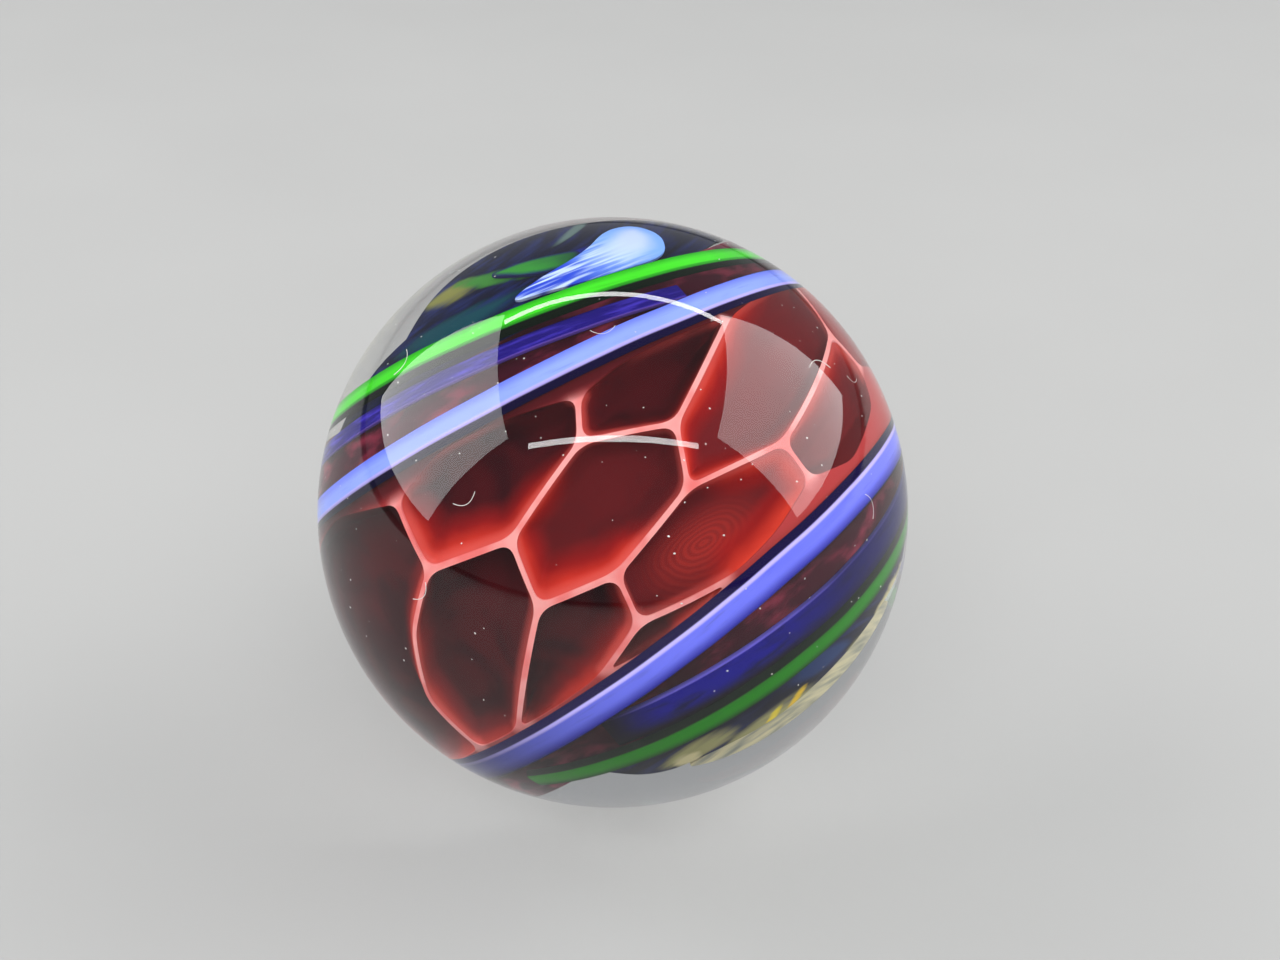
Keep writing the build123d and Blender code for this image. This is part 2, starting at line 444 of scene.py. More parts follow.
def ribbon_glass(name, body, streak_colour, edge, cells_side, edge_span=(0.42, 0.47), fading=False):
    """A flat ribbon with streaks along it and one edge: a brighter painted highlight on the cobalt ribbons,
    a darker edge by the cane on the plum ones; a fading one is dark at its ends.
    """
    shade, far_shade = colour(0.004, 0.0005, 0.008), colour(0.004, 0.002, 0.06)
    start_fade, side_fade, end_fade, end_strength = (0.5, 4.0), (-0.36, 0.08), (9.0, 17.0), 0.8
    streaks_along, streaks_across = 0.35, 3.0
    material, tree = new_material(name)
    across = tree.attribute("across") * cells_side
    along = tree.attribute("along")
    streak = tree.noise(tree.vector(along * streaks_along, across * streaks_across), detail=3.0)
    paint = tree.colour_mix(body, streak_colour, streak.rise(0.45, 0.75))
    # Painted edge: a highlight on the cobalt ribbons, a darker edge by the cane on the plum ones.
    paint = tree.colour_mix(paint, edge, across.rise(*edge_span))
    if fading:
        paint = tree.colour_mix(shade, paint, (along + streak).rise(*start_fade))
        paint = tree.colour_mix(shade, paint, (across + streak * 0.2).rise(*side_fade))
        paint = tree.colour_mix(paint, far_shade, (along + streak * 3.0).rise(*end_fade) * end_strength)
    tree.sealed(paint)
    return material


def opal_glass():
    """Milky blue at the round end with a painted highlight in its middle, cobalt with pale streaks in the
    tail.
    """
    tail_cobalt, sky_blue = colour(0.02, 0.06, 0.6), colour(0.2, 0.4, 0.98)
    highlight_blue, streak_blue = colour(0.5, 0.6, 0.95), colour(0.56, 0.7, 0.94)
    round_end, highlight_start, streaks_end = (36, 60), (30, 50), (34, 56)
    material, tree = new_material("milky blue opal glass")
    inward = tree.attribute("from_wall")
    lon = tree.attribute("lon")
    lat = tree.attribute("lat")
    drift = tree.noise(tree.place(), scale=330.0, detail=3.0)
    streak = tree.noise(tree.vector(lon * 0.05, lat * 0.75 + lon * 0.14, drift * 0.3))
    # A painted highlight over the middle of the round end.
    middle_highlight = (inward + drift * 0.8).rise(0.6, 1.8) * lon.rise(*highlight_start)
    paint = tree.colour_mix(tail_cobalt, sky_blue, (lon + drift * 20.0).rise(*round_end))
    paint = tree.colour_mix(paint, highlight_blue, middle_highlight)
    paint = tree.colour_mix(paint, streak_blue, streak.rise(0.42, 0.62) * (1.0 - lon.rise(*streaks_end)))
    tree.sealed(paint)
    return material


def wisps(tree, drift):
    """Long wisps that follow the stripes, bent a little by a drift."""
    along, across, bend = 0.035, 0.42, 0.15
    return tree.noise(
        tree.vector(tree.attribute("lon") * along, tree.attribute("lat") * across, drift * bend)
    )


def navy_glass(name, zones):
    """Deep blue glass with zones of other glass: a middle, a spread, a slope and a colour each."""
    deep_navy, light_navy = colour(0.002, 0.003, 0.018), colour(0.008, 0.016, 0.1)
    zone_edge, zone_fray = (0.1, 1.1), 1.5
    material, tree = new_material(name)
    lon = tree.attribute("lon")
    lat = tree.attribute("lat")
    drift = tree.noise(tree.place(), scale=300.0, detail=4.0, roughness=0.6, distortion=0.8)
    wisp = wisps(tree, drift)
    paint = tree.colour_mix(deep_navy, light_navy, wisp.rise(0.4, 0.75))
    for (middle_lon, middle_lat), (wide, high), slope, shade in zones:
        aside = (lon - middle_lon) / wide
        above = (lat - middle_lat - (lon - middle_lon) * slope) / high
        far = aside * aside + above * above + (wisp - 0.5) * zone_fray
        paint = tree.colour_mix(shade, paint, far.rise(*zone_edge))
    tree.sealed(paint)
    return material


def green_leaf_glass():
    """Olive at the tip, green in the middle, dark towards the opal, thin at its edge."""
    olive, leaf_green = colour(0.38, 0.46, 0.05), colour(0.03, 0.24, 0.03)
    dark_teal, thin_navy = colour(0.008, 0.06, 0.03), colour(0.006, 0.011, 0.075)
    tip_end, dark_start, thin_edge = (4, 18), (24, 46), (0.0, 0.4)
    material, tree = new_material("green leaf glass")
    inward = tree.attribute("from_wall")
    drift = tree.noise(tree.place(), scale=500.0, detail=3.0)
    along = tree.attribute("lon") + (drift - 0.5) * 14.0
    paint = tree.colour_mix(olive, leaf_green, along.rise(*tip_end))
    paint = tree.colour_mix(paint, dark_teal, along.rise(*dark_start))
    paint = tree.colour_mix(thin_navy, paint, (inward + (drift - 0.5) * 0.5).rise(*thin_edge))
    tree.sealed(paint)
    return material


def straw_glass():
    smoke, pale_straw = colour(0.2, 0.23, 0.22), colour(0.84, 0.77, 0.48)
    material, tree = new_material("pale straw glass")
    drift = tree.noise(tree.place(), scale=260.0, detail=3.0, roughness=0.55, distortion=0.5)
    tree.sealed(tree.colour_mix(smoke, pale_straw, wisps(tree, drift).rise(0.15, 0.7)))
    return material


def dust_stuff():
    grey_dust, pale_dust = colour(0.55, 0.52, 0.48), colour(0.85, 0.84, 0.82)
    material, tree = new_material("pale dust")
    shade = tree.noise(tree.place(), scale=900.0, detail=1.0)
    tree.surface(tree.colour_mix(grey_dust, pale_dust, shade), roughness=0.9)
    return material


def floor_paint():
    floor_grey, floor_light = colour(0.36, 0.36, 0.355), colour(0.385, 0.385, 0.38)
    material, tree = new_material("plain pale floor")
    grain = tree.noise(tree.place(), scale=30.0)
    tree.surface(tree.colour_mix(floor_grey, floor_light, grain), roughness=0.9, specular=0.1)
    return material


def direction(longitude, latitude):
    lon, lat = radians(longitude), radians(latitude)
    return Vector((sin(lon) * cos(lat), -cos(lon) * cos(lat), sin(lat)))


def lon_lat(point):
    return degrees(atan2(point.x, -point.y)), degrees(atan2(point.z, sqrt(point.x**2 + point.y**2)))


def own_pole(stripe):
    towards, lean = radians(stripe.towards), radians(stripe.lean)
    return (
        Matrix.Rotation(towards, 4, "Z")
        @ Matrix.Rotation(lean, 4, "X")
        @ Matrix.Rotation(-towards, 4, "Z")
    )


def stripe_latitude(stripe, longitude):
    """The latitude at which a stripe's middle crosses a longitude, on its own side of its pole."""
    pole = own_pole(stripe) @ Vector((0, 0, 1))
    lon = radians(longitude)
    level = pole.x * sin(lon) - pole.y * cos(lon)
    reach = sqrt(level**2 + pole.z**2)
    turn = acos(max(-1.0, min(1.0, sin(radians(stripe.latitude)) / reach)))
    both = [atan2(pole.z, level) + turn, atan2(pole.z, level) - turn]
    return min((degrees(angle) for angle in both), key=lambda angle: abs(angle - stripe.latitude))


def border_gap(longitude, latitude):
    """Degrees from a place to the nearest border of the field."""
    return min(
        stripe_latitude(upper_blue, longitude) - latitude,
        latitude - stripe_latitude(lower_blue, longitude),
        longitude - field_ends[0],
        field_ends[1] - longitude,
    )


def eased(share):
    share = max(0.0, min(1.0, share))
    return share * share * (3 - 2 * share)


def sunk(way, depth, top):
    """A place in the pattern, taken in by a depth along the twisted glass."""
    lon, lat = lon_lat(way)
    turn = -twist * depth / cell_depth * eased(border_gap(lon, lat) / twist_fade)
    return Matrix.Rotation(turn, 3, direction(*twist_centre)) @ way * (top - depth)


def inset(outline, amount):
    """Move each side of a flat outline inwards."""
    moved = []
    for i, corner in enumerate(outline):
        before = (corner - outline[i - 1]).normalized()
        after = (outline[(i + 1) % len(outline)] - corner).normalized()
        inward_before = Vector((-before.y, before.x))
        inward_after = Vector((-after.y, after.x))
        halfway = inward_before + inward_after
        moved.append(corner + halfway * (amount / halfway.dot(inward_before)))
    return moved


def rounded(outline, amount):
    """Round each corner of a flat outline with a short curve."""
    most_of_side = 0.45
    smooth = []
    for i, corner in enumerate(outline):
        before = outline[i - 1] - corner
        after = outline[(i + 1) % len(outline)] - corner
        start = corner + before.normalized() * min(amount, before.length * most_of_side)
        end = corner + after.normalized() * min(amount, after.length * most_of_side)
        for k in range(corner_steps + 1):
            t = k / corner_steps
            smooth.append(start * (1 - t) ** 2 + corner * (2 * t * (1 - t)) + end * t**2)
    return smooth


def evenly(loop, step):
    """A closed loop of unit vectors with its points at even steps."""
    lengths = [(loop[(i + 1) % len(loop)] - loop[i]).length for i in range(len(loop))]
    count = max(fewest_outline_points, int(ceil(sum(lengths) / step)))
    stride = sum(lengths) / count
    points, i, passed = [], 0, 0.0
    for k in range(count):
        while passed + lengths[i] < k * stride:
            passed += lengths[i]
            i += 1
        share = (k * stride - passed) / lengths[i] if lengths[i] else 0.0
        points.append(loop[i].lerp(loop[(i + 1) % len(loop)], share).normalized())
    return points


def outline_loop(outline, wall, rounding):
    """A rounded outline, given in degrees, as unit vectors."""
    places = [direction(*corner) for corner in outline]
    middle = sum(places, Vector()).normalized()
    east = Vector((0, 0, 1)).cross(middle).normalized()
    north = middle.cross(east)
    flat = [Vector((p.dot(east), p.dot(north))) / p.dot(middle) for p in places]
    flat = rounded(inset(flat, wall / 2 / field_top), rounding / field_top)
    return [(middle + east * p.x + north * p.y).normalized() for p in flat]


def kept_in_field(loop):
    """Hold a cell's outline inside the border of the field."""
    margin = degrees(border_wall / field_top)
    held = []
    for way in loop:
        lon, lat = lon_lat(way)
        lon = max(field_ends[0] + margin, min(field_ends[1] - margin, lon))
        lat = min(lat, stripe_latitude(upper_blue, lon) - margin)
        lat = max(lat, stripe_latitude(lower_blue, lon) + margin)
        held.append(direction(lon, lat))
    return evenly(held, outline_step / field_top)


def border_loop():
    """The border of the field, along the two blue canes."""
    start, end = field_ends
    lower, upper = [], []
    for k in range(border_steps + 1):
        lon = start + (end - start) * k / border_steps
        lower.append(direction(lon, stripe_latitude(lower_blue, lon)))
        upper.append(direction(lon, stripe_latitude(upper_blue, lon)))
    return evenly(lower + upper[::-1], outline_step / field_top)


def new_object(name, mesh):
    made = bpy.data.objects.new(name, mesh)
    bpy.context.scene.collection.objects.link(made)
    return made


def ball_mesh(name, subdivisions):
    work = bmesh.new()
    bmesh.ops.create_icosphere(work, subdivisions=subdivisions, radius=ball_radius)
    mesh = bpy.data.meshes.new(name)
    work.to_mesh(mesh)
    work.free()
    return mesh


def place_piece(name, mesh, material, node, edge=None):
    """A finished piece from a mesh in the pattern, placed on the frame; edge is its sharpest smooth bend."""
    mesh.transform(pattern)
    mesh.materials.clear()
    mesh.materials.append(material)
    mesh.shade_smooth()
    if edge is not None:
        mesh.set_sharp_from_angle(angle=radians(edge))
    piece = new_object(name, mesh)
    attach(piece, "root")
    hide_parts(node)


def mesh_piece(name, points, faces, marks, material, slot, node):
    """A finished piece from points, faces and named values in the pattern."""
    mesh = bpy.data.meshes.new(name)
    mesh.from_pydata([tuple(p) for p in points], [], faces)
    for key, values in marks.items():
        mesh.attributes.new(key, "FLOAT", "POINT").data.foreach_set("value", values)
    work = bmesh.new()
    work.from_mesh(mesh)
    bmesh.ops.recalc_face_normals(work, faces=work.faces)
    work.to_mesh(mesh)
    work.free()
    place_piece(name, mesh, material, node, glass_edge)


def flat_fill(loops):
    """Faces between a border and the outlines in it, found on the flat map."""
    work = bmesh.new()
    for loop in loops:
        made = [work.verts.new((*lon_lat(way), 0)) for way in loop]
        for i, vert in enumerate(made):
            work.edges.new((made[i - 1], vert))
    work.verts.index_update()
    bmesh.ops.triangle_fill(work, use_beauty=True, edges=work.edges[:], normal=(0, 0, 1))
    faces = [[vert.index for vert in face.verts] for face in work.faces]
    work.free()
    return faces


def seen_way(right, up):
    """A direction across the photo's picture, in the pattern."""
    across = Vector((right, up * sin(face_tilt), up * cos(face_tilt)))
    return (pattern.to_3x3().inverted() @ across).normalized()


def glow_at(outward, cell):
    """How far the wall on that side of a cell glows."""
    halfway, slope = 0.5, 0.75
    return cell.glow * eased(halfway + slope * outward.normalized().dot(seen_way(*cell.towards)))


def widths(loops):
    """How wide the net is at each point of each of its outlines, in millimetres."""
    owners = [i for i, loop in enumerate(loops) for way in loop]
    tree = KDTree(len(owners))
    for i, way in enumerate(way for loop in loops for way in loop):
        tree.insert(way, i)
    tree.balance()
    return [
        [tree.find(way, filter=lambda other: owners[other] != owner)[2] * field_top / mm for way in loop]
        for owner, loop in enumerate(loops)
    ]


def net_piece(loops, loop_widths, material):
    """The net: a curved slab, its border first in loops, with a twisted opening for each cell."""
    ways = [way for loop in loops for way in loop]
    wide = [width for some in loop_widths for width in some]
    places = [lon_lat(way) for way in ways]
    upper_gap = [stripe_latitude(upper_blue, lon) - lat for lon, lat in places]
    points = [sunk(way, cell_depth * share, field_top) for share in net_levels for way in ways]
    count, levels = len(ways), len(net_levels)
    lid = flat_fill(loops)
    last = count * (levels - 1)
    faces = lid + [[last + i for i in face] for face in lid]
    first = 0
    for loop in loops:
        for level in range(levels - 1):
            for i in range(len(loop)):
                a = level * count + first + i
                b = level * count + first + (i - 1) % len(loop)
                faces.append([a, b, b + count, a + count])
        first += len(loop)
    marks = {"wide": wide * levels, "upper_gap": upper_gap * levels}
    mesh_piece("pale_net", points, faces, marks, material, "pink_glass", "cell_walls")


def bowl(loop, top, rim_depth, middle_depth, floor_depth, cell=None, loop_widths=None):
    """A closed solid under an outline, its top dished or domed and its floor plain."""
    middle = sum(loop, Vector()).normalized()
    shares = [bowl_fit * (1 - (k / bowl_rings) ** bowl_crowding) for k in range(bowl_rings)]
    count = len(loop)
    points, faces = [], []
    marks = {name: [] for name in ("from_wall", "facing", "tone", "swirl", "wide", "lon", "lat")}

    def lay(way, depth=None):
        place = min(range(count), key=lambda i: (way - loop[i]).length_squared)
        nearest = loop[place]
        away = (way - nearest).length * top
        if depth is None:
            level = max(0.0, 1 - away / bowl_slope)
            depth = middle_depth - (middle_depth - rim_depth) * level**2
        lon, lat = lon_lat(way)
        points.append(sunk(way, depth, top) if cell else way * (top - depth))
        found = {
            "from_wall": away / mm,
            "facing": glow_at(nearest - middle, cell) if cell else 0.0,
            "tone": cell.tone if cell else 0.0,
            "swirl": cell.rings if cell else 0.0,
            "wide": loop_widths[place] if cell else 0.0,
            "lon": lon,
            "lat": lat,
        }
        for name, value in found.items():
            marks[name].append(value)

    def layer(share, depth=None):
        for way in loop:
            lay(middle.lerp(way, share).normalized(), depth)

    def pairs(under):
        for i in range(count):
            j = (i + 1) % count
            yield (j, i) if under else (i, j)

    def band(first, second, under=False):
        for a, b in pairs(under):
            faces.append([first + a, first + b, second + b, second + a])

    def cap(ring, tip, under=False):
        for a, b in pairs(under):
            faces.append([ring + a, ring + b, tip])

    for share in shares:
        layer(share)
    lay(middle)
    upper = [k * count for k in range(bowl_rings)]
    for first, second in zip(upper, upper[1:]):
        band(first, second)
    cap(upper[-1], len(points) - 1)

    lower = upper[:1]
    for k in range(1, bowl_side_steps + 1):
        lower.append(len(points))
        layer(shares[0], rim_depth + (floor_depth - rim_depth) * k / bowl_side_steps)
    for share in shares[1:]:
        lower.append(len(points))
        layer(share, floor_depth)
    lay(middle, floor_depth)
    for first, second in zip(lower, lower[1:]):
        band(first, second, under=True)
    cap(lower[-1], len(points) - 1, under=True)
    return points, faces, marks


def joined(solids):
    points, faces, marks = [], [], {}
    for some_points, some_faces, some_marks in solids:
        first = len(points)
        points += some_points
        faces += [[first + i for i in face] for face in some_faces]
        for name, values in some_marks.items():
            marks.setdefault(name, []).extend(values)
    return points, faces, marks


def leaf_piece(node, outline, top, material, slot):
    """A thin leaf, slightly domed, over an outline of its own."""
    loop = evenly(outline_loop(outline, cell_wall, leaf_round), outline_step / top)
    solid = bowl(loop, top, leaf_edge_depth, 0.0, leaf_depth)
    mesh_piece(node + "_glass", *solid, material, slot, node)


def new_group(name, sockets):
    """An empty geometry tree with named inputs, and what they give."""
    group = bpy.data.node_groups.new(name, "GeometryNodeTree")
    for label, kind in sockets:
        group.interface.new_socket(label, in_out="INPUT", socket_type="NodeSocket" + kind)
    group.interface.new_socket("Geometry", in_out="OUTPUT", socket_type="NodeSocketGeometry")
    tree = Tree(group)
    return group, tree, tree.node("NodeGroupInput").outputs


def cane_nodes():
    """Geometry nodes that sweep a cane's section round the ball."""
    sizes = (
        "Ring Radius", "Height", "Start", "Sweep", "Tilt",
        "Top Width", "Foot Width", "Depth", "Rounding", "Waver",
    )
    group, tree, given = new_group(
        "swept cane", [(size, "Float") for size in sizes] + [("Glass", "Material")]
    )
    arc = tree.node(
        "GeometryNodeCurveArc",
        sockets={
            "Resolution": 260,
            "Radius": given["Ring Radius"],
            "Start Angle": given["Start"],
            "Sweep Angle": given["Sweep"],
        },
    )
    place = tree.value("GeometryNodeInputPosition")
    drift = tree.noise(place, scale=170.0, detail=1.0, out=noise_colour)
    centred = tree.value("ShaderNodeVectorMath", {"operation": "SUBTRACT"}, {0: drift, 1: (0.5, 0.5, 0.5)})
    waver = tree.value(
        "ShaderNodeVectorMath", {"operation": "SCALE"}, {0: centred, "Scale": given["Waver"]}
    )
    lift = tree.vector(z=given["Height"])
    shift = tree.value("ShaderNodeVectorMath", {"operation": "ADD"}, {0: lift, 1: waver})
    path = tree.node("GeometryNodeSetPosition", sockets={"Geometry": arc.outputs[0], "Offset": shift})
    tilted = tree.node(
        "GeometryNodeSetCurveTilt", sockets={"Curve": path.outputs[0], "Tilt": given["Tilt"]}
    )
    distance = tree.value("GeometryNodeSplineParameter", out="Length")
    spine = tree.marked(tilted.outputs[0], "along", distance / mm)
    section = tree.node(
        "GeometryNodeCurvePrimitiveQuadrilateral",
        {"mode": "TRAPEZOID"},
        {
            "Height": given["Depth"],
            "Bottom Width": given["Foot Width"],
            "Top Width": given["Top Width"],
            "Offset": 0.0,
        },
    )
    soft = tree.node(
        "GeometryNodeFilletCurve",
        {"mode": "POLY"},
        {"Curve": section.outputs[0], "Count": 6, "Radius": given["Rounding"], "Limit Radius": True},
    )
    fine = tree.node(
        "GeometryNodeResampleCurve", {"mode": "COUNT"}, {"Curve": soft.outputs[0], "Count": 56}
    )
    apart = tree.node("ShaderNodeSeparateXYZ", sockets={0: place}).outputs
    across = Value(tree, apart["X"]) / given["Foot Width"]
    risen = Value(tree, apart["Y"]) / given["Depth"]
    profile = tree.marked(tree.marked(fine.outputs[0], "across", across), "risen", risen)
    turned = tree.node(
        "GeometryNodeTransform", sockets={"Geometry": profile, "Rotation": (0.0, 0.0, -pi / 2)}
    )
    swept = tree.node(
        "GeometryNodeCurveToMesh",
        sockets={"Curve": spine, "Profile Curve": turned.outputs[0], "Fill Caps": True},
    )
    tree.close(swept.outputs[0], given["Glass"])
    return group


def fibre(tree):
    """A bent thread, about two units long."""
    bend = tree.node(
        "GeometryNodeCurveQuadraticBezier",
        sockets={
            "Resolution": 14,
            "Start": (-1.0, -0.1, 0.05),
            "Middle": (0.1, 0.9, 0.02),
            "End": (1.0, -0.3, 0.08),
        },
    )
    thread = tree.node("GeometryNodeCurvePrimitiveCircle", sockets={"Resolution": 6, "Radius": 0.025})
    return tree.node(
        "GeometryNodeCurveToMesh",
        sockets={"Curve": bend.outputs[0], "Profile Curve": thread.outputs[0], "Fill Caps": True},
    )


def grain(tree):
    """A flattened crumb, about two units across."""
    crumb = tree.node("GeometryNodeMeshIcoSphere", sockets={"Radius": 1.0, "Subdivisions": 2})
    return tree.node(
        "GeometryNodeTransform", sockets={"Geometry": crumb.outputs[0], "Scale": (1.0, 0.7, 0.45)}
    )


def settled_nodes(name, shape):
    """Geometry nodes that settle dust grains or lint fibres on the upper side of the ball."""
    sizes = ("Per Square Metre", "Least Size", "Largest Size", "Lowest Height", "Reach")
    group, tree, given = new_group(
        name,
        [("Geometry", "Geometry")]
        + [(size, "Float") for size in sizes]
        + [("Seed", "Int"), ("Stuff", "Material")],
    )
    apart = tree.node(
        "ShaderNodeSeparateXYZ", sockets={0: tree.value("GeometryNodeInputPosition")}
    ).outputs
    x, y, z = (Value(tree, socket) for socket in apart)
    widest = abs(x).most(abs(y)).most(abs(z))
    inside = tree.value("FunctionNodeCompare", {"operation": "LESS_THAN"}, {0: widest, 1: given["Reach"]})
    high_enough = tree.value(
        "FunctionNodeCompare", {"operation": "GREATER_THAN"}, {0: z, 1: given["Lowest Height"]}
    )
    chosen = tree.value("FunctionNodeBooleanMath", {"operation": "AND"}, {0: inside, 1: high_enough})
    spread = tree.node(
        "GeometryNodeDistributePointsOnFaces",
        {"distribute_method": "RANDOM"},
        {
            "Mesh": given["Geometry"],
            "Selection": chosen,
            "Density": given["Per Square Metre"],
            "Seed": given["Seed"],
        },
    )

    def by_chance(least, largest):
        return tree.value(
            "FunctionNodeRandomValue",
            {"data_type": "FLOAT"},
            {"Min": least, "Max": largest, "Seed": given["Seed"]},
            random_number,
        )

    spin = tree.vector(z=by_chance(0.0, 2 * pi))
    own = tree.node("FunctionNodeEulerToRotation", sockets={0: spin})
    laid = tree.node(
        "FunctionNodeRotateRotation",
        {"rotation_space": "LOCAL"},
        {"Rotation": spread.outputs["Rotation"], "Rotate By": own.outputs[0]},
    )
    strewn = tree.node(
        "GeometryNodeInstanceOnPoints",
        sockets={
            "Points": spread.outputs[0],
            "Instance": shape(tree).outputs[0],
            "Rotation": laid.outputs[0],
            "Scale": by_chance(given["Least Size"], given["Largest Size"]),
        },
    )
    tree.close(strewn.outputs[0], given["Stuff"])
    return group


def grown(group, settings, base=None):
    """The plain mesh that a geometry node group makes from named inputs."""
    mesh = base or bpy.data.meshes.new("blank")
    carrier = new_object("carrier", mesh)
    modifier = carrier.modifiers.new("nodes", "NODES")
    modifier.node_group = group
    for item in group.interface.items_tree:
        if item.in_out == "INPUT" and item.name in settings:
            modifier[item.identifier] = settings[item.name]
    carrier.update_tag()
    bpy.context.view_layer.update()
    seen = carrier.evaluated_get(bpy.context.evaluated_depsgraph_get())
    made = bpy.data.meshes.new_from_object(seen)
    carrier.modifiers.remove(modifier)
    bpy.data.objects.remove(carrier)
    return made


def settled(name, shape, per_square_metre, sizes, lowest, seed, material):
    """Dust or lint lying on the glass, clear of the ball's outermost points."""
    mesh = grown(
        settled_nodes(name, shape),
        {
            "Per Square Metre": per_square_metre,
            "Least Size": sizes[0],
            "Largest Size": sizes[1],
            "Lowest Height": lowest * ball_radius,
            "Reach": dust_reach,
            "Seed": seed,
            "Stuff": material,
        },
        ball_mesh("dust ground", subdivisions=4),
    )
    mesh.materials.clear()
    mesh.materials.append(material)
    mesh.shade_smooth()
    piece = new_object(name, mesh)
    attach(piece, "root")


def swept_stripe(group, name, stripe, outer, depth, spans, rounding, waver, material, node):
    """One cane or ribbon at its own pole; spans are the widths of its top and its foot."""
    lat = radians(stripe.latitude)
    middle = outer - depth / 2
    mesh = grown(
        group,
        {
            "Ring Radius": middle * cos(lat),
            "Height": middle * sin(lat),
            "Start": radians(stripe.start - 90),
            "Sweep": radians(stripe.end - stripe.start),
            "Tilt": -lat,
            "Top Width": spans[0],
            "Foot Width": spans[1],
            "Depth": depth,
            "Rounding": rounding,
            "Waver": waver,
            "Glass": material,
        },
    )
    mesh.name = name
    mesh.transform(own_pole(stripe))
    place_piece(name, mesh, material, node, cane_edge)


def beside(stripe, width):
    """A stripe that runs along the outer side of another."""
    outward = 1 if stripe.latitude > 0 else -1
    shift = degrees((glass_film + width / 2) / plum_top)
    return stripe._replace(latitude=stripe.latitude + outward * shift)


def light(name, place, size, power):
    """A soft lamp aimed at the ball."""
    lamp = bpy.data.lights.new(name, "AREA")
    lamp.shape = "RECTANGLE"
    lamp.size, lamp.size_y = size
    lamp.energy = power
    holder = new_object(name, lamp)
    holder.location = place
    holder.rotation_euler = (-Vector(place)).to_track_quat("-Z", "Y").to_euler()
    holder.visible_transmission = False
    return holder


def studio():
    """A pale floor, a soft surround and lamps at a plain level."""
    scene = bpy.context.scene
    mesh = bpy.data.meshes.new("floor")
    reach = 3.0
    mesh.from_pydata(
        [(-reach, -reach, 0), (reach, -reach, 0), (reach, reach, 0), (-reach, reach, 0)], [], [(0, 1, 2, 3)]
    )
    mesh.transform(Matrix.Translation((0, 0, -ball_radius)))
    mesh.materials.append(floor_paint())
    floor = new_object("floor", mesh)

    world = bpy.data.worlds.new("soft surround")
    world.use_nodes = True
    back = world.node_tree.nodes["Background"]
    back.inputs["Color"].default_value = colour(0.95, 0.97, 1.0)
    back.inputs["Strength"].default_value = 0.3
    scene.world = world

    softbox_size, strip_size = (0.5, 0.4), (0.46, 0.016)
    light("left softbox", place=(-0.42, 0.06, 0.25), size=softbox_size, power=2.4)
    light("right softbox", place=(0.42, 0.06, 0.26), size=softbox_size, power=2.4)
    light("front strip", place=(0, -0.206, 0.343), size=strip_size, power=0.3)
    light("back strip", place=(0, 0.2, 0.346), size=strip_size, power=0.3)
    fill = light("front fill", place=(0, -0.42, 0.36), size=(0.6, 0.3), power=2.2)
    fill.visible_glossy = False

    scene.view_settings.view_transform = "Standard"


def camera():
    """A camera at the photo's angle, turned so that the ball lies where the photo has it."""
    lens = bpy.data.cameras.new("camera")
    lens.lens = lens_length
    lens.sensor_width = film_width
    lens.clip_start = 5 * mm
    eye = Vector((0, -cos(face_tilt), sin(face_tilt))) * camera_distance
    focal = lens_length / film_width * photo_size[0]
    aside = (photo_size[0] / 2 - ball_in_photo[0]) / focal
    below = (ball_in_photo[1] - photo_size[1] / 2) / focal
    turn = (-eye).to_track_quat("-Z", "Y").to_matrix().to_4x4()
    turn = turn @ Matrix.Rotation(-atan(aside), 4, "Y") @ Matrix.Rotation(atan(below), 4, "X")
    holder = new_object("camera", lens)
    holder.matrix_world = Matrix.Translation(eye) @ turn
    bpy.context.scene.camera = holder


cell_loops = [
    kept_in_field(outline_loop([corners[name] for name in cell.corners], net_crest, corner_round))
    for cell in cells.values()
]
net_loops = [border_loop()] + cell_loops
net_widths = widths(net_loops)
net_piece(net_loops, net_widths, net_glass())
garnet_solid = joined(
    bowl(loop, field_top, bowl_rim_depth, bowl_middle_depth, cell_depth, cell, loop_widths)
    for loop, cell, loop_widths in zip(cell_loops, cells.values(), net_widths[1:])
)
mesh_piece("garnet_cells", *garnet_solid, red_glass(), "red_glass", "red_cells")

# Zones in the navy leaves: middle and spread in degrees, slope, colour.
straw = colour(0.42, 0.4, 0.17)
cream = colour(0.78, 0.7, 0.38)
upper_zones = {
    "teal": ((-12, 58), (32, 4.0), -0.1, colour(0.004, 0.05, 0.07)),
    "olive": ((-10, 71), (22, 5.0), -0.1, colour(0.2, 0.2, 0.05)),
    "green": ((18, 64), (26, 4.5), -0.42, colour(0.04, 0.2, 0.03)),
    "cobalt glow": ((38, 51), (18, 6.0), 0.0, colour(0.015, 0.03, 0.6)),
    "pale streak": ((66, 62), (20, 1.6), 0.0, colour(0.1, 0.16, 0.15)),
}
lower_zones = {
    "blue": ((35, -57), (18, 3.5), 0.0, colour(0.01, 0.04, 0.17)),
    "left straw": ((-24, -58.5), (20, 4.0), -0.1, straw),
    "left cream": ((-32, -59.5), (7, 3.0), 0.0, cream),
    "middle straw": ((10, -66), (36, 5.0), 0.0, straw),
    "right straw": ((54, -62), (18, 4.5), 0.25, straw),
    "right cream": ((80, -50), (14, 4.5), 0.35, cream),
    "yellow sparkle": ((9, -64.5), (6, 2.0), 0.3, colour(0.95, 0.75, 0.04)),
    "amber sparkle": ((22, -63.5), (6, 2.0), 0.3, colour(0.95, 0.62, 0.02)),
}
upper_navy_glass = navy_glass("upper navy glass", upper_zones.values())
lower_navy_glass = navy_glass("lower navy glass", lower_zones.values())
leaf_piece("opal_leaf", opal_outline, field_top, opal_glass(), "opal_glass")
leaf_piece("green_leaf", green_leaf_outline, green_leaf_top, green_leaf_glass(), "green_glass")
leaf_piece("straw_leaf", straw_outline, straw_top, straw_glass(), "straw_glass")
